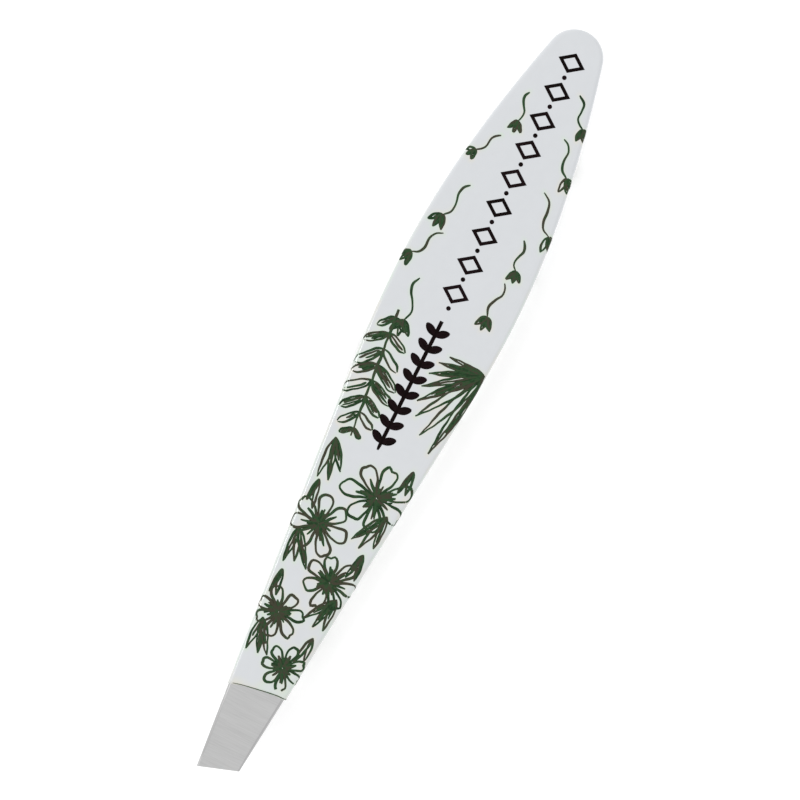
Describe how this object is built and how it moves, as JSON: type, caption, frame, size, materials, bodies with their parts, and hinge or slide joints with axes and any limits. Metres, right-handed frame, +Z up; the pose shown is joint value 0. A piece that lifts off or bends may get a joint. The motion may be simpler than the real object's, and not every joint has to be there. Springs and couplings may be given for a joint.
{
  "type": "slant tweezers",
  "caption": "Slant-tip tweezers: sprung steel arms welded face to face at a rounded tail, wide in the hand, tapering to ground slanted jaws, with a printed film on the outside.",
  "frame": {"origin": "centre of the bounding box in plan, on the table that the tweezers lie on", "axes": "+X along the tweezers from the tail to the slanted tips, +Z up from the table, +Y across them, so that the short corner of the slant is on the +Y side"},
  "size_m": [0.0952, 0.0152, 0.013],
  "materials": {
    "steel": "stainless steel, brushed across the tips",
    "film": "gloss printed film, off-white",
    "weld": "fused steel, as welded"
  },
  "bodies": {
    "tail_weld": {"rear_weld_nugget": "weld", "front_weld_nugget": "weld"},
    "upper_side": {"upper_arm": "steel", "upper_film": "film"},
    "lower_side": {"lower_arm": "steel", "lower_film": "film"}
  },
  "joints": [
    {"name": "upper_flex", "type": "hinge", "parent": "tail_weld", "child": "upper_side", "pos_m": [-0.03739, 0, 0.00209], "axis": [0, 1, 0], "range_deg": [0, 2.5], "stiffness_Nm_per_rad": 1.5},
    {"name": "lower_flex", "type": "hinge", "parent": "tail_weld", "child": "lower_side", "pos_m": [-0.03739, 0, 0.00209], "axis": [0, -1, 0], "range_deg": [0, 2.5], "stiffness_Nm_per_rad": 1.5}
  ],
  "couplings": [
    {"joint": "lower_flex", "follows": "upper_flex", "ratio": 1}
  ]
}
